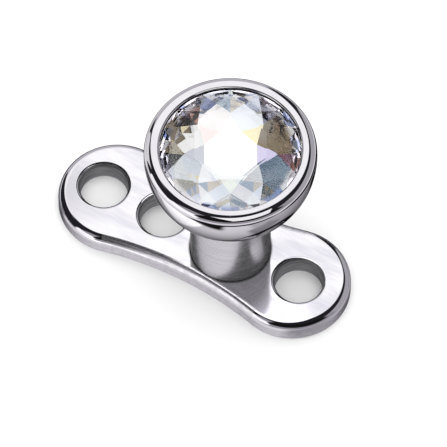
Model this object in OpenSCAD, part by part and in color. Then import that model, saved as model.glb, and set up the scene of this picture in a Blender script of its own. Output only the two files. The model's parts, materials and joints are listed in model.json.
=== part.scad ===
// Dermal anchor with a ball-backed gem top, in millimetres.
// The foot plate lies on z = 0, the post stands on the origin, and +X runs to the plate's short end.

/* [Foot plate] */
// Thickness of the plate
plate_t = 0.53; // [0.4:0.01:0.8]
// From the post's axis to the middle of the plate's long end
long_end_x = 3.25; // [3.15:0.05:4]
// From the post's axis to the middle of the plate's short end
short_end_x = 1.75; // [1.5:0.05:2.5]
// Radius of each round end
end_r = 1.47; // [1.35:0.01:1.8]
// Half of the plate's width at its waist
waist_half = 1.17; // [1.1:0.01:1.25]
// Rounding along the plate's upper edge
upper_round = 0.2; // [0.05:0.01:0.22]
// Rounding along the plate's lower edge
lower_round = 0.05; // [0.02:0.01:0.1]

/* [Tissue holes] */
// Radius of each hole
hole_r = 0.6; // [0.4:0.01:0.65]
// Rounding at the top of each hole
hole_round = 0.1; // [0.05:0.01:0.14]
// From the post's axis to the hole at the long end
far_hole_x = 3.63; // [3.5:0.01:3.7]
// From the post's axis to the middle hole
middle_hole_x = 1.91; // [1.85:0.01:2]
// From the post's axis to the hole at the short end
near_hole_x = 1.95; // [1.85:0.01:2.2]

/* [Post] */
// Radius of the post
post_r = 1; // [0.8:0.01:1.05]
// Height of the post above the plate
post_h = 2.5; // [1.5:0.1:3.5]
// Fillet where the post meets the plate
foot_round = 0.02; // [0.02:0.01:0.08]
// Rounding of the post's top edge
post_round = 0.06; // [0.02:0.01:0.1]

/* [Stud] */
// Radius of the stud below the ball
stud_r = 0.58; // [0.4:0.01:0.6]
// Length of the stud
stud_l = 1.7; // [1:0.1:2]
// Bevel at the stud's tip
stud_bevel = 0.1; // [0.05:0.01:0.2]
// Gap round the stud and below it
stud_gap = 0.05; // [0.03:0.01:0.08]
// Gap between the ball and the post's top
seat_gap = 0.02; // [0.01:0.01:0.05]

/* [Ball and rim] */
// Radius of the ball
ball_r = 2.12; // [2.05:0.01:2.5]
// Radius of the rim's rolled outer edge
rim_round = 0.22; // [0.1:0.01:0.25]
// Height of the rim's top above the ball's middle
rim_h = 0.3; // [0.28:0.01:0.4]
// Radius of the opening in the rim
opening_r = 1.74; // [1.7:0.01:1.75]
// Rounding at the rim's inner edge
lip_round = 0.05; // [0.02:0.01:0.08]

/* [Crystal] */
// Radius of the crystal at its girdle
girdle_r = 1.78; // [1.78:0.01:1.84]
// Thickness of the girdle
girdle_t = 0.06; // [0.04:0.01:0.1]
// Depth of the girdle's upper edge below the rim's top
girdle_drop = 0.15; // [0.14:0.01:0.2]
// Height of the crown above the girdle
crown_h = 0.3; // [0.2:0.01:0.5]
// Radius of the table, corner to middle
table_r = 0.95; // [0.9:0.01:1.2]
// Depth of the back below the girdle
back_d = 0.35; // [0.25:0.01:0.6]
// Radius of the back's flat, corner to middle
flat_r = 0.7; // [0.6:0.01:0.9]
// Turn of the crystal in its seat, in degrees
crystal_turn = 7.1; // [0:0.1:44.9]
// Gap between the crystal and its seat
stone_gap = 0.02; // [0.01:0.01:0.03]

/* [Hidden] */
$fn = 96;

// Segments in each small rounding, in the plate's edges, and along its ends and waist
round_n = 8;
lower_n = 3;
upper_n = 6;
end_n = 12;
waist_n = 10;
ball_n = 32;
// How far a cutter reaches past what it cuts
over = 0.1;

hole_xs = [-far_hole_x, -middle_hole_x, near_hole_x];

// Each side of the waist is an arc that runs into both round ends without a corner
half_span = (long_end_x + short_end_x) / 2;
waist_x = (short_end_x - long_end_x) / 2;
waist_r = (pow(half_span, 2) + pow(waist_half, 2) - pow(end_r, 2)) / (2 * (end_r - waist_half));
waist_axis_y = waist_half + waist_r;
waist_turn = atan(half_span / waist_axis_y);

post_top = plate_t + post_h;
bore_r = stud_r + stud_gap;
bore_end = post_top + seat_gap - stud_l - stud_gap;

// The ball's flat underside is as wide as the post; heights below are from the ball's middle
seat_z = -sqrt(pow(ball_r, 2) - pow(post_r, 2));
seat_turn = atan(seat_z / post_r);
ball_z = post_top + seat_gap - seat_z;

// The rolled edge runs into the ball without a corner
roll_z = rim_h - rim_round;
roll_x = sqrt(pow(ball_r - rim_round, 2) - pow(roll_z, 2));
roll_start = atan(roll_z / roll_x);

girdle_top = rim_h - girdle_drop;
girdle_bottom = girdle_top - girdle_t;
table_z = girdle_top + crown_h;
flat_z = girdle_bottom - back_d;

// Main facets on each side, and how far out their stars reach, as a share from flat to girdle
facet_n = 8;
crown_star = 0.55;
back_star = 0.35;
crown_star_r = table_r + (girdle_r - table_r) * crown_star;
back_star_r = flat_r + (girdle_r - flat_r) * back_star;
crown_star_z = star_z(girdle_top, table_z, table_r, crown_star_r);
back_star_z = star_z(girdle_bottom, flat_z, flat_r, back_star_r);

// The seat follows the crystal's girdle and the ridges of its back, and a lip holds the girdle down
cavity_r = girdle_r + stone_gap;
lip_bottom = girdle_top + stone_gap + (girdle_r - opening_r) * (table_z - girdle_top) / (girdle_r - table_r);
cavity_edge = girdle_bottom - stone_gap;
ridge_run = (girdle_r - back_star_r) / (girdle_bottom - back_star_z);
floor_r = cavity_r - back_d * ridge_run;
cavity_floor = flat_z - stone_gap;

// Points along an arc round (x, y)
function arc(x, y, r, from, to, n = round_n) =
    [for (i = [0:n]) let (a = from + (to - from) * i / n) [x + r * cos(a), y + r * sin(a)]];

// n points in a level ring, the first one at angle start
function ring(r, z, n, start = 0) =
    [for (i = [0:n - 1]) [r * cos(start + 360 * i / n), r * sin(start + 360 * i / n), z]];

// Height of a star's tip, in the planes of its kites, which run from height edge at the girdle to flat
function star_z(edge, flat, flat_r, star_r) =
    edge + (flat - edge) * (girdle_r - star_r * cos(180 / facet_n)) / (girdle_r - flat_r);

// Outline of the plate's +Y side from tip to tip, drawn in by inset: short end, waist, long end
function plate_side(inset) =
    let (
        r = end_r - inset,
        w = waist_r + inset,
        t = waist_turn,
        skip = 2 * t / waist_n
    )
    concat(
        arc(short_end_x, 0, r, 0, 90 + t, end_n),
        arc(waist_x, waist_axis_y, w, t - skip - 90, skip - t - 90, waist_n - 2),
        arc(-long_end_x, 0, r, 90 - t, 180, end_n)
    );

// Section of the plate's edge from below, as how far it is drawn in and its height
function plate_edge() = concat(
    [for (p = arc(0, lower_round, lower_round, -90, 0, lower_n)) [lower_round - p[0], p[1]]],
    [for (p = arc(0, plate_t - upper_round, upper_round, 0, 90, upper_n)) [upper_round - p[0], p[1]]]
);

// The plate in level rings, each one the +Y side and its mirror image
module plate() {
    edge = plate_edge();
    side_n = len(plate_side(0));
    n = 2 * side_n - 2;
    top = (len(edge) - 1) * n;
    points = [
        for (e = edge)
            let (side = plate_side(e[0]))
                for (i = [0:n - 1])
                    i < side_n ? [side[i][0], side[i][1], e[1]] : [side[n - i][0], -side[n - i][1], e[1]]
    ];
    // Strips across from side to side, with a triangle at each tip
    face = concat(
        [[0, 1, n - 1], [side_n - 2, side_n - 1, side_n]],
        [for (i = [1:side_n - 3]) [i, i + 1, n - i - 1, n - i]]
    );
    faces = concat(
        face,
        [for (k = [0:len(edge) - 2]) for (i = [0:n - 1]) let (j = (i + 1) % n)
            [k * n + i, (k + 1) * n + i, (k + 1) * n + j, k * n + j]],
        [for (f = face) [for (k = [len(f) - 1:-1:0]) top + f[k]]]
    );
    polyhedron(points = points, faces = faces, convexity = 4);
}

// A straight hole with a rounded upper rim
module tissue_hole() {
    rotate_extrude()
        polygon(concat(
            [[0, -over], [hole_r, -over]],
            arc(hole_r + hole_round, plate_t - hole_round, hole_round, 180, 90),
            [[hole_r + hole_round, plate_t + over], [0, plate_t + over]]
        ));
}

module post() {
    rotate_extrude()
        polygon(concat(
            [[0, plate_t / 2], [post_r + foot_round, plate_t / 2]],
            arc(post_r + foot_round, plate_t + foot_round, foot_round, 270, 180),
            arc(post_r - post_round, post_top - post_round, post_round, 0, 90),
            [[0, post_top]]
        ));
}

module anchor_base() {
    color("silver")
        difference() {
            union() {
                plate();
                post();
            }
            for (x = hole_xs)
                translate([x, 0, 0])
                    tissue_hole();
            translate([0, 0, bore_end])
                cylinder(r = bore_r, h = post_top - bore_end + over);
        }
}

// The stud, the ball with its flat seat, the rolled rim, and the hollow that holds the crystal
function cup_section() = concat(
    [
        [0, seat_z - stud_l],
        [stud_r - stud_bevel, seat_z - stud_l],
        [stud_r, seat_z - stud_l + stud_bevel],
        [stud_r, seat_z]
    ],
    arc(0, 0, ball_r, seat_turn, roll_start, ball_n),
    arc(roll_x, roll_z, rim_round, roll_start, 90),
    arc(opening_r + lip_round, rim_h - lip_round, lip_round, 90, 180),
    [
        [opening_r, lip_bottom],
        [cavity_r, lip_bottom],
        [cavity_r, cavity_edge],
        [floor_r, cavity_floor],
        [0, cavity_floor]
    ]
);

module bezel_cup() {
    color("silver")
        translate([0, 0, ball_z])
            rotate_extrude()
                polygon(cup_section());
}

// Corners of one side of the cut: its flat, its stars' tips and its edge of the girdle
function side_points(flat_r, flat_z, star_r, star_z, edge_z) = concat(
    ring(flat_r, flat_z, facet_n),
    ring(star_r, star_z, facet_n, 180 / facet_n),
    ring(girdle_r, edge_z, 2 * facet_n)
);

// Facets of one side whose corners start at first: the flat, stars, kites and girdle facets, seen from above
function side_faces(first) =
    let (n = facet_n, star = first + n, edge = star + n)
    concat(
        [[for (i = [n - 1:-1:0]) first + i]],
        [for (i = [0:n - 1]) [first + i, first + (i + 1) % n, star + i]],
        [for (i = [0:n - 1]) [first + i, star + i, edge + 2 * i, star + (i + n - 1) % n]],
        [for (i = [0:n - 1]) [star + i, edge + 2 * i + 1, edge + 2 * i]],
        [for (i = [0:n - 1]) [star + i, edge + (2 * i + 2) % (2 * n), edge + 2 * i + 1]]
    );

// Round cut: the crown has a table, and the silvered back repeats its facets round a smaller flat
module crystal() {
    n = facet_n;
    upper = 2 * n;
    back = 4 * n;
    lower = back + 2 * n;
    points = concat(
        side_points(table_r, table_z, crown_star_r, crown_star_z, girdle_top),
        side_points(flat_r, flat_z, back_star_r, back_star_z, girdle_bottom)
    );
    faces = concat(
        side_faces(0),
        [for (i = [0:2 * n - 1]) let (j = (i + 1) % (2 * n)) [upper + i, upper + j, lower + j, lower + i]],
        [for (f = side_faces(back)) [for (k = [len(f) - 1:-1:0]) f[k]]]
    );
    color("white", 0.6)
        translate([0, 0, ball_z])
            rotate([0, 0, crystal_turn])
                polyhedron(points = points, faces = faces, convexity = 2);
}

anchor_base();
bezel_cup();
crystal();
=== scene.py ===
import json
import math

import bpy
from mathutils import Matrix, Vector
from mathutils.geometry import tessellate_polygon


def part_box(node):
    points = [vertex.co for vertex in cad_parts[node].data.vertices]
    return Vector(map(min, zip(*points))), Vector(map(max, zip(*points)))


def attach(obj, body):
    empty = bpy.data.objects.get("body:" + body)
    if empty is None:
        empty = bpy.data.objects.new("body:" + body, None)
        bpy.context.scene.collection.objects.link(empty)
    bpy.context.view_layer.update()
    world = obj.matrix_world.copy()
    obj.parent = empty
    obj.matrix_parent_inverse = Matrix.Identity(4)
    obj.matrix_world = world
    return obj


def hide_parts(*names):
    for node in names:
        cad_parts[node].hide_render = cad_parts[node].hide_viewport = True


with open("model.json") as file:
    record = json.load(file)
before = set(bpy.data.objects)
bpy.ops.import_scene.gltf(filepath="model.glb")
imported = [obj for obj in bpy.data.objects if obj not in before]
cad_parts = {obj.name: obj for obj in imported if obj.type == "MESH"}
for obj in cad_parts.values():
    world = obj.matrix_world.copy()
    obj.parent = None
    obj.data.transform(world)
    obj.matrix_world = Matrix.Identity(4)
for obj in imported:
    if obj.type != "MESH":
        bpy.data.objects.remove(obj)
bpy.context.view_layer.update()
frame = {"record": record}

mm = 0.001  # every size below is in millimetres, and the scene is in metres


# Shells: points, faces, a normal for every corner, and the finish of every face
def newShell():
    return {"points": [], "faces": [], "normals": [], "finishes": []}


def arcRun(u, z, radius, start, end, steps, hollow=False):
    # Points on an arc, each with its normal; hollow turns the normals to the arc's middle
    side = -1 if hollow else 1
    run = []
    for i in range(steps + 1):
        a = math.radians(start + (end - start) * i / steps)
        across, up = math.cos(a), math.sin(a)
        run.append((u + radius * across, z + radius * up, side * across, side * up))
    return run


def lineRun(u0, z0, u1, z1):
    # A straight stretch of section, with the metal on its left
    length = math.hypot(u1 - u0, z1 - z0)
    nu, nz = (z1 - z0) / length, (u0 - u1) / length
    return [(u0, z0, nu, nz), (u1, z1, nu, nz)]


def roundLoop(x, segments):
    # Path of a section that is turned round an upright axis at x: where it starts from and where it faces
    loop = []
    for i in range(segments):
        a = math.tau * i / segments
        loop.append((x, 0, math.cos(a), math.sin(a)))
    return loop


def addFace(shell, corners, normals, finish):
    # Corners that coincide, as on an axis, are given once
    kept = [k for k in range(len(corners)) if corners[k] != corners[k - 1]]
    shell["faces"].append([corners[k] for k in kept])
    shell["normals"].append([normals[k] for k in kept])
    shell["finishes"].append(finish)


def addRing(shell, loop, u, z):
    start = len(shell["points"])
    if u == 0 and all(p[:2] == loop[0][:2] for p in loop):  # a point on the axis
        shell["points"].append((loop[0][0], loop[0][1], z))
        return [start] * len(loop)
    for x, y, dx, dy in loop:
        shell["points"].append((x + dx * u, y + dy * u, z))
    return list(range(start, start + len(loop)))


def sweep(shell, loop, runs, finish, first=None):
    # Carries a section round a loop, with true normals at every corner, and gives its first and last rings;
    # the finish is one for all, or a list with one for each step of the loop
    first = last = first or addRing(shell, loop, runs[0][0][0], runs[0][0][1])
    count = len(loop)
    finishes = finish if isinstance(finish, list) else [finish] * count
    for run in runs:
        for below, above in zip(run, run[1:]):
            ring = addRing(shell, loop, above[0], above[1])
            low = [(dx * below[2], dy * below[2], below[3]) for x, y, dx, dy in loop]
            high = [(dx * above[2], dy * above[2], above[3]) for x, y, dx, dy in loop]
            for i in range(count):
                j = (i + 1) % count
                corners = [last[i], last[j], ring[j], ring[i]]
                addFace(shell, corners, [low[i], low[j], high[j], high[i]], finishes[i])
            last = ring
    return first, last


def addCap(shell, rings, up, finish):
    # Fills the flat area between an outline and the rings inside it
    outlines = [[Vector(shell["points"][i]) for i in ring] for ring in rings]
    flat = [i for ring in rings for i in ring]
    normal = (0, 0, 1 if up else -1)
    for a, b, c in tessellate_polygon(outlines):
        p, q, r = (shell["points"][flat[i]] for i in (a, b, c))
        turn = (q[0] - p[0]) * (r[1] - p[1]) - (q[1] - p[1]) * (r[0] - p[0])
        corners = [flat[a], flat[b], flat[c]] if (turn > 0) == up else [flat[a], flat[c], flat[b]]
        addFace(shell, corners, [normal] * 3, finish)


def makePiece(name, shell, node, materials, lift=0.0):
    mesh = bpy.data.meshes.new(name)
    mesh.from_pydata([(x * mm, y * mm, (z + lift) * mm) for x, y, z in shell["points"]], [], shell["faces"])
    for material in materials:
        mesh.materials.append(material)
    mesh.polygons.foreach_set("material_index", shell["finishes"])
    if shell["normals"]:
        mesh.shade_smooth()
        mesh.normals_split_custom_set([n for face in shell["normals"] for n in face])
    piece = bpy.data.objects.new(name, mesh)
    bpy.context.scene.collection.objects.link(piece)
    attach(piece, "root")
    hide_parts(node)
    print(name, "made with", len(mesh.polygons), "faces")
    return piece


# Foot plate, holes and post
anchorSizes = {
    "plateThickness": 0.53,
    "endRadius": 1.47,
    "longEndX": -3.25,
    "shortEndX": 1.75,
    "waistHalf": 1.17,
    "upperRound": 0.2,
    "lowerRound": 0.05,
    "holeRound": 0.1,
    "rimTurn": 118,  # how far down its rounding a hole's rim is polished, as a section angle
    "postRadius": 1.0,
    "postTop": 3.03,
    "footRound": 0.02,
    "postRound": 0.06,
    "boreRadius": 0.63,
    "boreFloor": 1.3,
    "outlineSteps": 72,  # along each round end
    "waistSteps": 40,
    "roundSteps": 14,
    "holeSegments": 128,
    "postSegments": 192,
}


def plateOutline(s):
    # Anticlockwise: round short end, waist, round long end, waist, each without its last point
    end, waist = s["endRadius"], s["waistHalf"]
    halfSpan = (s["shortEndX"] - s["longEndX"]) / 2
    waistX = (s["shortEndX"] + s["longEndX"]) / 2
    waistRadius = (halfSpan ** 2 + waist ** 2 - end ** 2) / (2 * (end - waist))
    waistY = waist + waistRadius
    turn = math.degrees(math.atan(halfSpan / waistY))
    arcs = [
        arcRun(s["shortEndX"], 0, end, -90 - turn, 90 + turn, s["outlineSteps"]),
        arcRun(waistX, waistY, waistRadius, turn - 90, -turn - 90, s["waistSteps"], hollow=True),
        arcRun(s["longEndX"], 0, end, 90 - turn, 270 + turn, s["outlineSteps"]),
        arcRun(waistX, -waistY, waistRadius, 90 + turn, 90 - turn, s["waistSteps"], hollow=True),
    ]
    return [point for arc in arcs for point in arc[:-1]]


def addHole(shell, s, mount, rimFinish, wallFinish):
    # A hole where the record has its bore; gives its rings in the plate's top and underside
    x, radius, rounding = mount["pos_m"][0] / mm, mount["dims"]["r_mm"], s["holeRound"]
    loop = roundLoop(x, s["holeSegments"])
    rimX, rimZ = radius + rounding, s["plateThickness"] - rounding
    rim = [arcRun(rimX, rimZ, rounding, 90, s["rimTurn"], s["roundSteps"])]
    wall = [
        arcRun(rimX, rimZ, rounding, s["rimTurn"], 180, s["roundSteps"]),
        lineRun(radius, rimZ, radius, 0),
    ]
    upper, middle = sweep(shell, loop, rim, rimFinish)
    lower = sweep(shell, loop, wall, wallFinish, middle)[1]
    return upper, lower


def addPost(shell, s, finish):
    # The post from the corner at its foot over its top down into its bore; gives its ring in the plate's top
    radius, corner, edge = s["postRadius"], s["footRound"], s["postRound"]
    foot, top, bore, boreFloor = s["plateThickness"], s["postTop"], s["boreRadius"], s["boreFloor"]
    section = [
        arcRun(radius + corner, foot + corner, corner, 270, 180, s["roundSteps"], hollow=True),
        lineRun(radius, foot + corner, radius, top - edge),
        arcRun(radius - edge, top - edge, edge, 0, 90, s["roundSteps"]),
        lineRun(radius - edge, top, bore, top),
        lineRun(bore, top, bore, boreFloor),
        lineRun(bore, boreFloor, 0, boreFloor),
    ]
    return sweep(shell, roundLoop(0, s["postSegments"]), section, finish)[0]


def makeAnchor(s, materials):
    polished, brushed, edged, bored, turned = range(len(materials))
    top, lower, upper = s["plateThickness"], s["lowerRound"], s["upperRound"]
    shell = newShell()
    outline = plateOutline(s)
    wall = [arcRun(-lower, lower, lower, -90, 0, s["roundSteps"]), lineRun(0, lower, 0, top - upper)]
    edge = [arcRun(-upper, top - upper, upper, 0, 90, s["roundSteps"])]
    edgeFinishes = ([polished] * s["outlineSteps"] + [edged] * s["waistSteps"]) * 2
    underside, middle = sweep(shell, outline, wall, edged)
    upperside = sweep(shell, outline, edge, edgeFinishes, middle)[1]
    undersides, uppersides = [underside], [upperside]
    for mount in frame["record"]["mounts"]:
        if mount["kind"] == "bore":
            aboveRing, belowRing = addHole(shell, s, mount, polished, bored)
            uppersides.append(aboveRing)
            undersides.append(belowRing)
    uppersides.append(addPost(shell, s, turned))
    addCap(shell, undersides, False, edged)
    addCap(shell, uppersides, True, brushed)
    return makePiece("footPlateAndPost", shell, "anchor_base", materials)


# Ball, rim and stud; heights are from the ball's middle
cupSizes = {
    "ballRadius": 2.12,
    "seatRadius": 1.0,  # of the flat below, where the ball rests on the post
    "studRadius": 0.58,
    "studLength": 1.7,
    "studBevel": 0.1,
    "rimTop": 0.3,
    "rimRound": 0.22,
    "openingRadius": 1.74,
    "lipRound": 0.05,
    "shadeLineTurn": 148,  # where on its rounding the lip turns from polished to the painted shade line, as a section angle
    "lipBottom": 0.1864,  # from here down to the floor the hollow stands about 0.02 clear of the stone
    "hollowRadius": 1.8,
    "hollowEdge": 0.07,
    "floorHeight": -0.28,
    "floorRadius": 0.8336,
    "ballSteps": 96,
    "rimSteps": 24,
    "segments": 256,
}


def makeCup(s, ballHeight, materials):
    polished, paintedShadeLine = range(len(materials))
    ball, rolled, lip, top = s["ballRadius"], s["rimRound"], s["lipRound"], s["rimTop"]
    opening, hollow, stud, bevel = s["openingRadius"], s["hollowRadius"], s["studRadius"], s["studBevel"]
    seat = -math.sqrt(ball ** 2 - s["seatRadius"] ** 2)
    tip = seat - s["studLength"]
    rollZ = top - rolled
    rollX = math.sqrt((ball - rolled) ** 2 - rollZ ** 2)
    lipX, lipZ = opening + lip, top - lip
    ballStart = math.degrees(math.atan2(seat, s["seatRadius"]))
    ballEnd = math.degrees(math.atan2(rollZ, rollX))
    outside = [
        lineRun(0, tip, stud - bevel, tip),
        lineRun(stud - bevel, tip, stud, tip + bevel),
        lineRun(stud, tip + bevel, stud, seat),
        lineRun(stud, seat, s["seatRadius"], seat),
        arcRun(0, 0, ball, ballStart, ballEnd, s["ballSteps"]),
        arcRun(rollX, rollZ, rolled, ballEnd, 90, s["rimSteps"]),
        lineRun(rollX, top, lipX, top),
        arcRun(lipX, lipZ, lip, 90, s["shadeLineTurn"], s["rimSteps"]),
    ]
    lipInside = [
        arcRun(lipX, lipZ, lip, s["shadeLineTurn"], 180, s["rimSteps"]),
        lineRun(opening, lipZ, opening, s["lipBottom"]),
    ]
    inside = [
        lineRun(opening, s["lipBottom"], hollow, s["lipBottom"]),
        lineRun(hollow, s["lipBottom"], hollow, s["hollowEdge"]),
        lineRun(hollow, s["hollowEdge"], s["floorRadius"], s["floorHeight"]),
        lineRun(s["floorRadius"], s["floorHeight"], 0, s["floorHeight"]),
    ]
    shell = newShell()
    loop = roundLoop(0, s["segments"])
    lipRing = sweep(shell, loop, outside, polished)[1]
    # The lip's inside takes the painted shade line next to the stone
    ledge = sweep(shell, loop, lipInside, paintedShadeLine, lipRing)[1]
    sweep(shell, loop, inside, polished, ledge)
    return makePiece("ballAndRim", shell, "bezel_cup", materials, lift=ballHeight)


# Cut crystal; heights are from the ball's middle
crystalSizes = {
    "facets": 8,
    "turn": 7.1,
    "girdleRadius": 1.78,
    "girdleTop": 0.15,
    "girdleBottom": 0.09,
    "tableRadius": 0.95,
    "tableHeight": 0.45,
    "crownStar": 0.55,  # share of the way from the table out to the girdle at which the stars end
    "flatRadius": 0.7,
    "flatHeight": -0.26,
    "backStar": 0.35,  # the same, from the back's flat
}

# Painted reflections: colours that stand in for the fire and the light and dark surroundings the silvered
# back mirrors, facet by facet from the +X side round
paintedCrystalTints = {
    "flat": (0.97, 0.98, 0.98),
    "stars": [
        (0.62, 0.58, 0.78), (0.94, 0.84, 0.55), (0.95, 0.95, 0.94), (0.95, 0.84, 0.82),
        (0.55, 0.56, 0.62), (0.92, 0.92, 0.96), (0.93, 0.97, 0.91), (0.62, 0.64, 0.68),
    ],
    "kites": [
        (0.15, 0.21, 0.28), (0.20, 0.155, 0.10), (0.85, 0.87, 0.92), (0.92, 0.88, 0.88),
        (0.80, 0.80, 0.80), (0.74, 0.76, 0.78), (0.92, 0.95, 0.98), (0.85, 0.88, 0.93),
    ],
    "halves": [
        (0.16, 0.06, 0.10), (0.20, 0.14, 0.08), (0.22, 0.17, 0.11), (0.18, 0.16, 0.22),
        (0.70, 0.62, 0.52), (0.42, 0.48, 0.55), (0.32, 0.17, 0.14), (0.07, 0.065, 0.07),
        (0.42, 0.38, 0.31), (0.06, 0.055, 0.055), (0.42, 0.40, 0.35), (0.75, 0.78, 0.88),
        (0.90, 0.92, 0.94), (0.60, 0.62, 0.66), (0.22, 0.22, 0.19), (0.07, 0.12, 0.18),
    ],
}


def makeCrystal(s, paintedReflections, ballHeight, glass, silver):
    # Crown and back are cut alike: a flat, stars, kites and halves between it and the girdle
    n = s["facets"]
    points = []

    def ring(radius, z, count, start=0.0):
        first = len(points)
        for i in range(count):
            a = math.radians(s["turn"] + start + 360 * i / count)
            points.append((radius * math.cos(a), radius * math.sin(a), z))
        return [first + i for i in range(count)]

    def cutSide(flatRadius, flatZ, starShare, edgeZ):
        # Facets with their tints, corners anticlockwise from above, and the side's edge of the girdle
        step = 180 / n
        starRadius = flatRadius + (s["girdleRadius"] - flatRadius) * starShare
        starReach = s["girdleRadius"] - starRadius * math.cos(math.radians(step))
        starZ = edgeZ + (flatZ - edgeZ) * starReach / (s["girdleRadius"] - flatRadius)
        flat = ring(flatRadius, flatZ, n)
        star = ring(starRadius, starZ, n, step)
        edge = ring(s["girdleRadius"], edgeZ, 2 * n)
        facets = [(flat, paintedReflections["flat"])]
        for i in range(n):
            first, second, third = edge[2 * i], edge[2 * i + 1], edge[(2 * i + 2) % (2 * n)]
            facets.append(([flat[i], star[i], flat[(i + 1) % n]], paintedReflections["stars"][i]))
            facets.append(([flat[i], star[i - 1], first, star[i]], paintedReflections["kites"][i]))
            facets.append(([star[i], first, second], paintedReflections["halves"][2 * i]))
            facets.append(([star[i], second, third], paintedReflections["halves"][2 * i + 1]))
        return facets, edge

    crown, upper = cutSide(s["tableRadius"], s["tableHeight"], s["crownStar"], s["girdleTop"])
    back, lower = cutSide(s["flatRadius"], s["flatHeight"], s["backStar"], s["girdleBottom"])
    crownFaces = [corners for corners, tint in crown]
    girdleFaces = [[upper[i - 1], lower[i - 1], lower[i], upper[i]] for i in range(2 * n)]
    backFaces = [corners[::-1] for corners, tint in back]
    shell = newShell()
    shell["points"] = points
    shell["faces"] = crownFaces + girdleFaces + backFaces
    shell["finishes"] = [0] * len(crownFaces) + [1] * len(girdleFaces + backFaces)  # glass, then silver
    tints = [paintedReflections["flat"]] * len(crownFaces + girdleFaces) + [tint for corners, tint in back]
    piece = makePiece("cutCrystal", shell, "crystal", [glass, silver], lift=ballHeight)
    # The painted reflection tints are kept per corner for the silver to use
    paintedReflectionColors = piece.data.color_attributes.new("paintedReflections", "FLOAT_COLOR", "CORNER").data
    for face, tint in zip(piece.data.polygons, tints):
        for corner in face.loop_indices:
            paintedReflectionColors[corner].color = (*tint, 1)
    return piece


# Node helpers: a value is another node's output, or a plain number, vector or colour
def feed(tree, value, socket):
    if isinstance(value, bpy.types.NodeSocket):
        tree.links.new(value, socket)
    else:
        socket.default_value = value


def mathNode(tree, operation, *values):
    node = tree.nodes.new("ShaderNodeMath")
    node.operation = operation
    for socket, value in zip(node.inputs, values):
        feed(tree, value, socket)
    return node.outputs[0]


def vectorNode(tree, operation, *values):
    # Gives a vector, or a number where the operation measures one
    node = tree.nodes.new("ShaderNodeVectorMath")
    node.operation = operation
    for socket, value in zip(node.inputs, values):
        feed(tree, value, socket)
    return node.outputs["Vector" if operation == "MULTIPLY" else "Value"]


def slopeNode(tree, across, up):
    # Length of the slope over two sides
    squares = [mathNode(tree, "MULTIPLY", side, side) for side in (across, up)]
    return mathNode(tree, "SQRT", mathNode(tree, "ADD", *squares))


def fadeNode(tree, value, start, end):
    # 0 where the value is at its start and 1 at its end, with a soft run between them
    node = tree.nodes.new("ShaderNodeMapRange")
    node.interpolation_type = "SMOOTHSTEP"
    feed(tree, value, node.inputs["Value"])
    feed(tree, start, node.inputs["From Min"])
    feed(tree, end, node.inputs["From Max"])
    return node.outputs["Result"]


def mixColor(tree, factor, a, b):
    node = tree.nodes.new("ShaderNodeMix")
    node.data_type = "RGBA"
    feed(tree, factor, node.inputs["Factor"])
    feed(tree, a, node.inputs["A"])
    feed(tree, b, node.inputs["B"])
    return node.outputs["Result"]


def newGroup(name, inputs, outputs):
    # A node group whose sockets are named with their kinds; gives it with its inner ends
    group = bpy.data.node_groups.new(name, "ShaderNodeTree")
    for way, sockets in (("INPUT", inputs), ("OUTPUT", outputs)):
        for socket, kind in sockets.items():
            group.interface.new_socket(name=socket, in_out=way, socket_type="NodeSocket" + kind)
    return group, group.nodes.new("NodeGroupInput").outputs, group.nodes.new("NodeGroupOutput").inputs


def placeGroup(tree, group, values, label=""):
    node = tree.nodes.new("ShaderNodeGroup")
    node.node_tree = group
    node.label = label
    for socket, value in values.items():
        feed(tree, value, node.inputs[socket])
    return node.outputs


def newMaterial(name):
    material = bpy.data.materials.new(name)
    material.use_nodes = True
    return material, material.node_tree.nodes["Principled BSDF"]


def inMillimetres(tree):
    place = tree.nodes.new("ShaderNodeTexCoord").outputs["Object"]
    return vectorNode(tree, "MULTIPLY", place, (1 / mm, 1 / mm, 1 / mm))


# Marks of brushing, turning or drilling: noise drawn out by a stretch
grainLook = {"noiseRoughness": 0.6, "from": 0.35, "to": 0.68}


def makeGrainGroup(s):
    group, given, result = newGroup("steelGrain", {
        "Place": "Vector", "Stretch": "Vector", "Color": "Color", "Grain Color": "Color",
        "Detail": "Float", "Roughness": "Float", "Roughness Spread": "Float",
    }, {"Color": "Color", "Roughness": "Float", "Height": "Float"})
    noise = group.nodes.new("ShaderNodeTexNoise")
    noise.inputs["Scale"].default_value = 1.0
    noise.inputs["Roughness"].default_value = s["noiseRoughness"]
    feed(group, vectorNode(group, "MULTIPLY", given["Place"], given["Stretch"]), noise.inputs["Vector"])
    feed(group, given["Detail"], noise.inputs["Detail"])
    grain = fadeNode(group, noise.outputs["Fac"], s["from"], s["to"])
    spread = mathNode(group, "MULTIPLY", grain, given["Roughness Spread"])
    feed(group, mixColor(group, grain, given["Color"], given["Grain Color"]), result["Color"])
    feed(group, mathNode(group, "ADD", given["Roughness"], spread), result["Roughness"])
    feed(group, grain, result["Height"])
    return group


def makePaintedFootShadeGroup():
    # Mask of painted shade: 1 in the corner round a post's foot, fading out within its reach
    group, given, result = newGroup("footPaintedShadeMask", {
        "Place": "Vector", "Radius": "Float", "Height": "Float", "Reach": "Float",
    }, {"Mask": "Float"})
    axes = group.nodes.new("ShaderNodeSeparateXYZ")
    feed(group, given["Place"], axes.inputs["Vector"])
    x, y, z = (axes.outputs[name] for name in "XYZ")
    outward = mathNode(group, "SUBTRACT", slopeNode(group, x, y), given["Radius"])
    upward = mathNode(group, "SUBTRACT", z, given["Height"])
    feed(group, fadeNode(group, slopeNode(group, outward, upward), given["Reach"], 0.0), result["Mask"])
    return group


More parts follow.
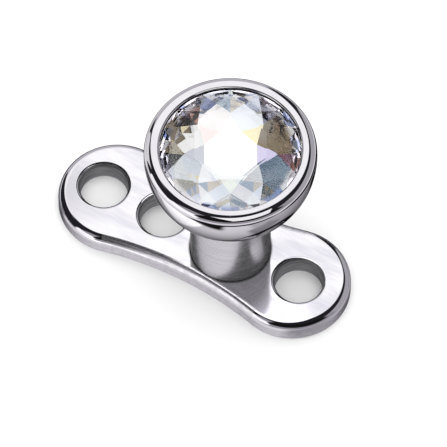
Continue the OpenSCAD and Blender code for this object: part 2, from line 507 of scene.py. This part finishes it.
# Finishes of the steel: stretch is how often the grain repeats in a millimetre along X, Y and Z,
# and mirrored is the light that a finish adds to its image in other metal
steelFinishes = {
    "polishedSteel": {
        "color": (0.72, 0.71, 0.735), "grainColor": (0.68, 0.665, 0.705), "stretch": (1.1, 1.1, 1.1),
        "detail": 2.0, "roughness": 0.02, "spread": 0.03, "edgeTint": 0.25,
    },
    "ballSteel": {
        "color": (0.72, 0.71, 0.735), "grainColor": (0.69, 0.675, 0.71), "stretch": (1.1, 1.1, 1.1),
        "detail": 2.0, "roughness": 0.02, "spread": 0.03, "edgeTint": 0.25, "mirrored": 1.4,
    },
    "brushedSteel": {
        "color": (0.83, 0.82, 0.845), "grainColor": (0.68, 0.665, 0.73), "stretch": (0.5, 2.4, 1.0),
        "detail": 3.0, "roughness": 0.06, "spread": 0.06, "edgeTint": 0.25, "paintedFootShade": True, "paintedEndShade": True,
    },
    "edgedSteel": {
        "color": (0.70, 0.69, 0.715), "grainColor": (0.62, 0.61, 0.645), "stretch": (7.0, 4.0, 12.0),
        "detail": 4.0, "roughness": 0.16, "spread": 0.08, "edgeTint": 0.12, "bump": 0.02, "metallic": 0.94,
    },
    "boredSteel": {
        "color": (0.30, 0.30, 0.305), "grainColor": (0.20, 0.20, 0.205), "stretch": (1.5, 1.5, 22.0),
        "detail": 2.0, "roughness": 0.6, "spread": 0.1, "edgeTint": 0.5, "bump": 0.2,
    },
    "turnedSteel": {
        "color": (0.70, 0.69, 0.715), "grainColor": (0.66, 0.65, 0.68), "stretch": (0.5, 0.5, 8.0),
        "detail": 3.0, "roughness": 0.24, "spread": 0.08, "edgeTint": 0.12, "paintedFootShade": True,
        "mirrored": 0.15, "metallic": 0.88,
    },
    # Painted shade: a dark line on the lip's inside, next to the stone
    "paintedShadeLine": {
        "color": (0.05, 0.05, 0.055), "grainColor": (0.02, 0.02, 0.022), "stretch": (6.0, 6.0, 6.0),
        "detail": 2.0, "roughness": 0.35, "spread": 0.2, "edgeTint": 0.5,
    },
}
# What a finish has where its own row doesn't say
plainFinish = {"metallic": 1.0, "bump": 0.0, "mirrored": 0.0, "paintedFootShade": False, "paintedEndShade": False}
bumpDepth = 0.02  # of the grain, at full strength
paintedFootShadeLook = {"color": (0.03, 0.03, 0.032), "reach": 0.075}  # painted shade: the dark line round the post's foot
paintedEndShadeLook = {"color": (0.58, 0.57, 0.61), "middle": (-4.4, -0.6, 0.53), "reach": 1.5}  # painted shade: a darker lavender on the plate's top at the long end


def makeSteel(name, grainGroup, paintedFootShadeGroup):
    s = {**plainFinish, **steelFinishes[name]}
    material, shader = newMaterial(name)
    tree = material.node_tree
    place = inMillimetres(tree)
    grain = placeGroup(tree, grainGroup, {
        "Place": place, "Stretch": s["stretch"], "Detail": s["detail"], "Color": (*s["color"], 1),
        "Grain Color": (*s["grainColor"], 1), "Roughness": s["roughness"], "Roughness Spread": s["spread"],
    })
    color = grain["Color"]
    # Painted shade: the colour is darkened in the corner round the post's foot
    if s["paintedFootShade"]:
        paintedFootShade = placeGroup(tree, paintedFootShadeGroup, {
            "Place": place, "Radius": anchorSizes["postRadius"], "Height": anchorSizes["plateThickness"],
            "Reach": paintedFootShadeLook["reach"],
        })
        color = mixColor(tree, paintedFootShade["Mask"], color, (*paintedFootShadeLook["color"], 1))
    # Painted shade: the colour turns a darker lavender towards the long end of the plate's top
    if s["paintedEndShade"]:
        away = vectorNode(tree, "DISTANCE", place, paintedEndShadeLook["middle"])
        paintedEndShade = fadeNode(tree, away, paintedEndShadeLook["reach"], 0.0)
        color = mixColor(tree, paintedEndShade, color, (*paintedEndShadeLook["color"], 1))
    feed(tree, color, shader.inputs["Base Color"])
    feed(tree, grain["Roughness"], shader.inputs["Roughness"])
    if s["bump"]:
        bump = tree.nodes.new("ShaderNodeBump")
        bump.inputs["Strength"].default_value = s["bump"]
        bump.inputs["Distance"].default_value = bumpDepth * mm
        feed(tree, grain["Height"], bump.inputs["Height"])
        feed(tree, bump.outputs["Normal"], shader.inputs["Normal"])
    # Painted glow: the finish gives off light where other metal mirrors it
    if s["mirrored"]:
        glossy = tree.nodes.new("ShaderNodeLightPath").outputs["Is Glossy Ray"]
        feed(tree, mathNode(tree, "MULTIPLY", glossy, s["mirrored"]), shader.inputs["Emission Strength"])
    shader.inputs["Metallic"].default_value = s["metallic"]
    shader.inputs["Specular Tint"].default_value = (s["edgeTint"], s["edgeTint"], s["edgeTint"], 1)
    return material


glassLook = {"color": (1, 1, 1), "refraction": 1.56}


def makeGlass(s):
    material, shader = newMaterial("crystalGlass")
    shader.inputs["Base Color"].default_value = (*s["color"], 1)
    shader.inputs["Transmission Weight"].default_value = 1.0
    shader.inputs["Roughness"].default_value = 0.0
    shader.inputs["IOR"].default_value = s["refraction"]
    return material


# Painted fire: slivers of split light near the crystal's edge; and a faint painted shade over its middle
paintedFireLook = {
    "slivers": [
        (0.86, 0.85, 0.88), (0.55, 0.75, 0.95), (1.0, 0.78, 0.52),
        (0.92, 1.0, 0.96), (0.28, 0.36, 0.62), (1.0, 0.97, 0.92),
    ],
    "cells": (2.6, 2.6, 2.6),  # slivers in a millimetre
    "innerRadius": 1.4,
    "outerRadius": 1.6,
    "share": 0.75,
    "centreShadeColor": (0.55, 0.60, 0.64),
    "centreShadeScale": 1.1,
    "centreShadeFrom": 0.42,
    "centreShadeTo": 0.66,
    "centreShadeShare": 0.2,
    "roughness": 0.02,
}


def makePaintedFireGroup(s):
    # Painted fire and shade on a silvered back: cells of spectral colour in a ring between two radii, and a
    # cloud of darker colour, over a given colour
    group, given, result = newGroup("paintedSplitLight", {
        "Place": "Vector", "Color": "Color", "Inner Radius": "Float", "Outer Radius": "Float",
        "Share": "Float", "Centre Shade Share": "Float",
    }, {"Color": "Color"})
    axes = group.nodes.new("ShaderNodeSeparateXYZ")
    feed(group, given["Place"], axes.inputs["Vector"])
    fromAxis = slopeNode(group, axes.outputs["X"], axes.outputs["Y"])
    band = fadeNode(group, fromAxis, given["Inner Radius"], given["Outer Radius"])
    cells = group.nodes.new("ShaderNodeTexVoronoi")
    cells.inputs["Scale"].default_value = 1.0
    feed(group, vectorNode(group, "MULTIPLY", given["Place"], s["cells"]), cells.inputs["Vector"])
    pick = group.nodes.new("ShaderNodeSeparateColor")
    feed(group, cells.outputs["Color"], pick.inputs["Color"])
    ramp = group.nodes.new("ShaderNodeValToRGB")
    ramp.color_ramp.interpolation = "CONSTANT"
    stops = ramp.color_ramp.elements
    for i, color in enumerate(s["slivers"]):
        stop = stops[i] if i < 2 else stops.new(0.0)  # a new ramp has two stops
        stop.position = i / len(s["slivers"])
        stop.color = (*color, 1)
    feed(group, pick.outputs["Red"], ramp.inputs["Fac"])
    noise = group.nodes.new("ShaderNodeTexNoise")
    noise.inputs["Scale"].default_value = s["centreShadeScale"]
    noise.inputs["Detail"].default_value = 0.0
    feed(group, given["Place"], noise.inputs["Vector"])
    cloud = fadeNode(group, noise.outputs["Fac"], s["centreShadeFrom"], s["centreShadeTo"])
    centreShade = mathNode(group, "MULTIPLY", cloud, given["Centre Shade Share"])
    centreShaded = mixColor(group, centreShade, given["Color"], (*s["centreShadeColor"], 1))
    share = mathNode(group, "MULTIPLY", band, given["Share"])
    feed(group, mixColor(group, share, centreShaded, ramp.outputs["Color"]), result["Color"])
    return group


def makeSilver(s):
    material, shader = newMaterial("silveredBack")
    tree = material.node_tree
    tint = tree.nodes.new("ShaderNodeAttribute")
    tint.attribute_name = "paintedReflections"
    paintedReflections = placeGroup(tree, makePaintedFireGroup(s), {
        "Place": inMillimetres(tree), "Color": tint.outputs["Color"], "Inner Radius": s["innerRadius"],
        "Outer Radius": s["outerRadius"], "Share": s["share"], "Centre Shade Share": s["centreShadeShare"],
    })
    feed(tree, paintedReflections["Color"], shader.inputs["Base Color"])
    shader.inputs["Metallic"].default_value = 1.0
    shader.inputs["Roughness"].default_value = s["roughness"]
    return material


# The camera looks down at the anchor from a little to the right of its long side
cameraSetup = {
    "azimuth": 29.6,  # degrees, 0 looks along +Y
    "elevation": 59.0,
    "distance": 200.0,
    "pixelsPerMm": 40.25,
    "frameSize": 447,
    "plateMiddle": (230.4, 247.1),  # pixel where the post's axis meets the plate's top
    "sensorWidth": 36.0,
    "nearest": 10.0,
    "farthest": 10000.0,
}


def studioDirection(turn, rise):
    # Out of the scene, by degrees from the camera's side (plus is to its right) and above the floor
    a, b = math.radians(cameraSetup["azimuth"] + turn), math.radians(rise)
    return Vector((math.sin(a) * math.cos(b), -math.cos(a) * math.cos(b), math.sin(b)))


def makeCamera(s):
    back, right = studioDirection(0, s["elevation"]), studioDirection(90, 0)
    up = back.cross(right)
    # The frame's middle is this far from the post's foot, which has its own pixel
    half = s["frameSize"] / 2
    across = (half - s["plateMiddle"][0]) / s["pixelsPerMm"]
    above = (s["plateMiddle"][1] - half) / s["pixelsPerMm"]
    aim = Vector((0, 0, anchorSizes["plateThickness"])) + right * across + up * above
    data = bpy.data.cameras.new("camera")
    data.sensor_width = s["sensorWidth"]
    data.lens = data.sensor_width * s["distance"] * s["pixelsPerMm"] / s["frameSize"]
    data.clip_start, data.clip_end = s["nearest"] * mm, s["farthest"] * mm
    camera = bpy.data.objects.new("camera", data)
    camera.location = (aim + back * s["distance"]) * mm
    camera.rotation_mode = "QUATERNION"
    camera.rotation_quaternion = back.to_track_quat("Z", "Y")
    bpy.context.scene.collection.objects.link(camera)
    bpy.context.scene.camera = camera
    print("camera placed, with a lens of", round(data.lens), "mm")


def makeCardGroup():
    # A rectangular patch in two coordinates: 1 inside its half sizes, 0 outside
    group, given, result = newGroup("studioCard", {
        "Across": "Float", "Up": "Float", "Middle Across": "Float", "Middle Up": "Float",
        "Half Across": "Float", "Half Up": "Float", "Softness": "Float",
    }, {"Mask": "Float"})
    soft = mathNode(group, "MULTIPLY", given["Softness"], 0.5)

    def window(value, half):
        outer, inner = mathNode(group, "ADD", half, soft), mathNode(group, "SUBTRACT", half, soft)
        return fadeNode(group, mathNode(group, "ABSOLUTE", value), outer, inner)

    # The first coordinate may be an angle, so it comes round after a full turn
    aside = mathNode(group, "SUBTRACT", given["Across"], given["Middle Across"])
    across = window(mathNode(group, "WRAP", aside, 180, -180), given["Half Across"])
    above = window(mathNode(group, "SUBTRACT", given["Up"], given["Middle Up"]), given["Half Up"])
    feed(group, mathNode(group, "MULTIPLY", across, above), result["Mask"])
    return group


def layCards(tree, group, cards, across, up, color):
    # Cards lie one over the other on a colour
    for name, middleAcross, middleUp, halfAcross, halfUp, softness, light in cards:
        card = placeGroup(tree, group, {
            "Across": across, "Up": up, "Middle Across": middleAcross, "Middle Up": middleUp,
            "Half Across": halfAcross, "Half Up": halfUp, "Softness": softness,
        }, label=name)
        color = mixColor(tree, card["Mask"], color, (*light, 1))
    return color


# Low cards on the floor that only polished metal mirrors, in millimetres from the post
# (name, right, towards the camera, half width, half depth, softness, colour)
floorCards = [
    ("rightGrey", 4.7, 0.0, 2.8, 9.0, 0.8, (0.62, 0.60, 0.64)),
    ("rightNearGrey", 2.4, 3.1, 1.1, 0.8, 0.6, (0.40, 0.39, 0.42)),
    ("rightBlack", 14.0, 0.0, 6.5, 9.0, 0.8, (0.01, 0.01, 0.01)),
    ("leftWhite", -9.5, -6.2, 6.3, 2.4, 0.6, (1.3, 1.3, 1.3)),
    ("leftBlack", -9.5, -1.0, 2.5, 2.0, 0.5, (0.02, 0.02, 0.022)),
    ("leftFootGrey", -5.0, -2.2, 1.4, 1.1, 0.4, (0.32, 0.31, 0.34)),
    ("leftNearWhite", -4.8, 2.6, 2.3, 1.8, 0.4, (1.8, 1.8, 1.8)),
    ("frontBlack", -3.0, 6.4, 2.3, 1.9, 0.8, (0.01, 0.01, 0.01)),
    ("frontFarBlack", 2.0, 10.5, 9.0, 3.5, 1.5, (0.02, 0.02, 0.02)),
    ("rightFarBlack", 8.5, -5.5, 4.0, 2.2, 1.0, (0.01, 0.01, 0.01)),
    ("farBlack", 3.0, -11.0, 5.0, 4.0, 1.0, (0.05, 0.05, 0.05)),
    ("farLeftLine", -3.0, -4.3, 3.0, 1.1, 0.4, (0.03, 0.03, 0.035)),
    ("farRightLine", 3.2, -2.6, 3.0, 1.4, 0.4, (0.03, 0.03, 0.035)),
]
floorLook = {
    "color": (0.93, 0.93, 0.93),
    "mirrored": (0.95, 0.93, 0.97),  # between the cards
    "roughness": 0.9,
    "halfSize": 400.0,
    "fadeStart": 45.0,  # from here outwards it fades into the background
    "fadeEnd": 130.0,
    "drop": 0.001,
}


def makeFloor(s, cards, cardGroup):
    half, drop = s["halfSize"] * mm, -s["drop"] * mm
    corners = [(-half, -half, drop), (half, -half, drop), (half, half, drop), (-half, half, drop)]
    mesh = bpy.data.meshes.new("floor")
    mesh.from_pydata(corners, [], [[0, 1, 2, 3]])
    floor = bpy.data.objects.new("floor", mesh)
    bpy.context.scene.collection.objects.link(floor)
    material, shader = newMaterial("paleFloor")
    tree = material.node_tree
    place = inMillimetres(tree)
    right = vectorNode(tree, "DOT_PRODUCT", place, studioDirection(90, 0))
    near = vectorNode(tree, "DOT_PRODUCT", place, studioDirection(0, 0))
    mirrored = layCards(tree, cardGroup, cards, right, near, (*s["mirrored"], 1))
    glossy = tree.nodes.new("ShaderNodeLightPath").outputs["Is Glossy Ray"]
    fade = fadeNode(tree, vectorNode(tree, "LENGTH", place), s["fadeEnd"], s["fadeStart"])
    black = (0, 0, 0, 1)
    feed(tree, mathNode(tree, "MAXIMUM", fade, glossy), shader.inputs["Alpha"])
    feed(tree, mixColor(tree, glossy, (*s["color"], 1), black), shader.inputs["Base Color"])
    feed(tree, mixColor(tree, glossy, black, mirrored), shader.inputs["Emission Color"])
    shader.inputs["Emission Strength"].default_value = 1.0
    shader.inputs["Roughness"].default_value = s["roughness"]
    shader.inputs["Specular IOR Level"].default_value = 0.0
    mesh.materials.append(material)
    print("floor made, with", len(cards), "cards for the metal to mirror")


# The studio round the object, by direction
studio = {
    "roomColor": (0.38, 0.365, 0.40),
    "stoneColor": (1.12, 1.12, 1.12),  # what rays in the crystal see
    "domeColor": (0.93, 0.93, 0.93),  # what lights the floor
    "cameraColor": (1.0, 1.0, 1.0),
    "bounces": 24,
    "mirrorBounces": 16,
    "glassBounces": 16,
}

# Cards in degrees: (name, turn, rise, half turn, half rise, softness, colour)
studioCards = [
    ("farScreen", 180, 48.5, 80, 14.5, 3, (1.22, 1.22, 1.22)),
    ("farLowFlag", 180, 8, 50, 24, 8, (0.62, 0.60, 0.66)),
    ("rightGrey", 112, 20, 40, 28, 5, (0.50, 0.49, 0.52)),
    ("rightEdgeFlag", 159, 27, 8, 30, 3, (0.02, 0.02, 0.025)),
    ("rightFlag", 113, 68, 54, 21, 3, (0.02, 0.02, 0.025)),
    ("leftEdgeFlag", -131, 29, 13, 35, 4, (0.02, 0.02, 0.025)),
    ("leftFlag", -96, 40, 30, 46, 5, (0.02, 0.02, 0.025)),
    ("leftSoftbox", -52, 14, 17, 22, 5, (1.4, 1.4, 1.4)),
    ("frontFlag", 10, 55, 50, 33, 4, (0.01, 0.01, 0.01)),
    ("zenith", 0, 92, 180, 28, 2, (0.02, 0.02, 0.025)),
]


def makeWorld(s, cards, cardGroup):
    world = bpy.data.worlds.new("studio")
    world.use_nodes = True
    tree = world.node_tree
    tree.nodes.clear()
    direction = tree.nodes.new("ShaderNodeTexCoord").outputs["Generated"]
    near = vectorNode(tree, "DOT_PRODUCT", direction, studioDirection(0, 0))
    right = vectorNode(tree, "DOT_PRODUCT", direction, studioDirection(90, 0))
    up = vectorNode(tree, "DOT_PRODUCT", direction, studioDirection(0, 90))
    turn = mathNode(tree, "DEGREES", mathNode(tree, "ARCTAN2", right, near))
    rise = mathNode(tree, "DEGREES", mathNode(tree, "ARCSINE", up))
    color = layCards(tree, cardGroup, cards, turn, rise, (*s["roomColor"], 1))
    # What comes through the crystal shows a bright room, and the camera itself sees a plain pale one
    path = tree.nodes.new("ShaderNodeLightPath").outputs
    inStone = mathNode(tree, "GREATER_THAN", path["Transmission Depth"], 0.5)
    color = mixColor(tree, inStone, color, (*s["stoneColor"], 1))
    color = mixColor(tree, path["Is Diffuse Ray"], color, (*s["domeColor"], 1))
    color = mixColor(tree, path["Is Camera Ray"], color, (*s["cameraColor"], 1))
    background = tree.nodes.new("ShaderNodeBackground")
    feed(tree, color, background.inputs["Color"])
    output = tree.nodes.new("ShaderNodeOutputWorld")
    feed(tree, background.outputs["Background"], output.inputs["Surface"])
    world.cycles.sampling_method = "NONE"
    scene = bpy.context.scene
    scene.world = world
    scene.cycles.max_bounces = s["bounces"]
    scene.cycles.glossy_bounces = s["mirrorBounces"]
    scene.cycles.transmission_bounces = s["glassBounces"]
    scene.view_settings.view_transform = "Standard"
    print("studio made, with", len(cards), "cards")


# A wide soft light above, for the floor; polished metal doesn't mirror it
fillLight = {"power": 0.09, "height": 120.0, "size": 160.0}


def makeFill(s):
    data = bpy.data.lights.new("fill", "AREA")
    data.shape = "DISK"
    data.size = s["size"] * mm
    data.energy = s["power"]
    fill = bpy.data.objects.new("fill", data)
    fill.location = (0, 0, s["height"] * mm)
    fill.visible_glossy = False
    fill.visible_transmission = False
    fill.visible_camera = False
    bpy.context.scene.collection.objects.link(fill)
    print("fill light placed")


# Softboxes that light the ball alone: (name, turn and rise in degrees, width and height in mm, light)
softboxes = {
    "distance": 100.0,
    "boxes": [
        ("ballLeftBox", -123, 20, 40, 60, 0.9),
        ("ballSideBox", -84, 8, 57, 65, 1.2),
        ("ballFrontBox", 24, 62, 60, 70, 1.2),
    ],
}


def makeSoftboxes(s, ball):
    receivers = bpy.data.collections.new("litBySoftboxes")
    receivers.objects.link(ball)
    for name, turn, rise, width, height, light in s["boxes"]:
        away = studioDirection(turn, rise)
        data = bpy.data.lights.new(name, "AREA")
        data.shape = "RECTANGLE"
        data.size, data.size_y = width * mm, height * mm
        data.energy = light * math.pi * data.size * data.size_y
        box = bpy.data.objects.new(name, data)
        box.location = away * s["distance"] * mm
        box.rotation_mode = "QUATERNION"
        box.rotation_quaternion = away.to_track_quat("Z", "Y")
        box.light_linking.receiver_collection = receivers
        bpy.context.scene.collection.objects.link(box)
    print(len(s["boxes"]), "softboxes placed for the ball")


grainGroup, paintedFootShadeGroup, cardGroup = makeGrainGroup(grainLook), makePaintedFootShadeGroup(), makeCardGroup()
steels = {name: makeSteel(name, grainGroup, paintedFootShadeGroup) for name in steelFinishes}
anchorSteels = [steels[name + "Steel"] for name in ("polished", "brushed", "edged", "bored", "turned")]
glass, silver = makeGlass(glassLook), makeSilver(paintedFireLook)
print("materials made:", ", ".join(steels), "and the crystal's glass and silver")

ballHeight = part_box("crystal")[1].z / mm - crystalSizes["tableHeight"]
makeAnchor(anchorSizes, anchorSteels)
ball = makeCup(cupSizes, ballHeight, [steels["ballSteel"], steels["paintedShadeLine"]])
makeCrystal(crystalSizes, paintedCrystalTints, ballHeight, glass, silver)

makeCamera(cameraSetup)
makeFloor(floorLook, floorCards, cardGroup)
makeWorld(studio, studioCards, cardGroup)
makeFill(fillLight)
makeSoftboxes(softboxes, ball)
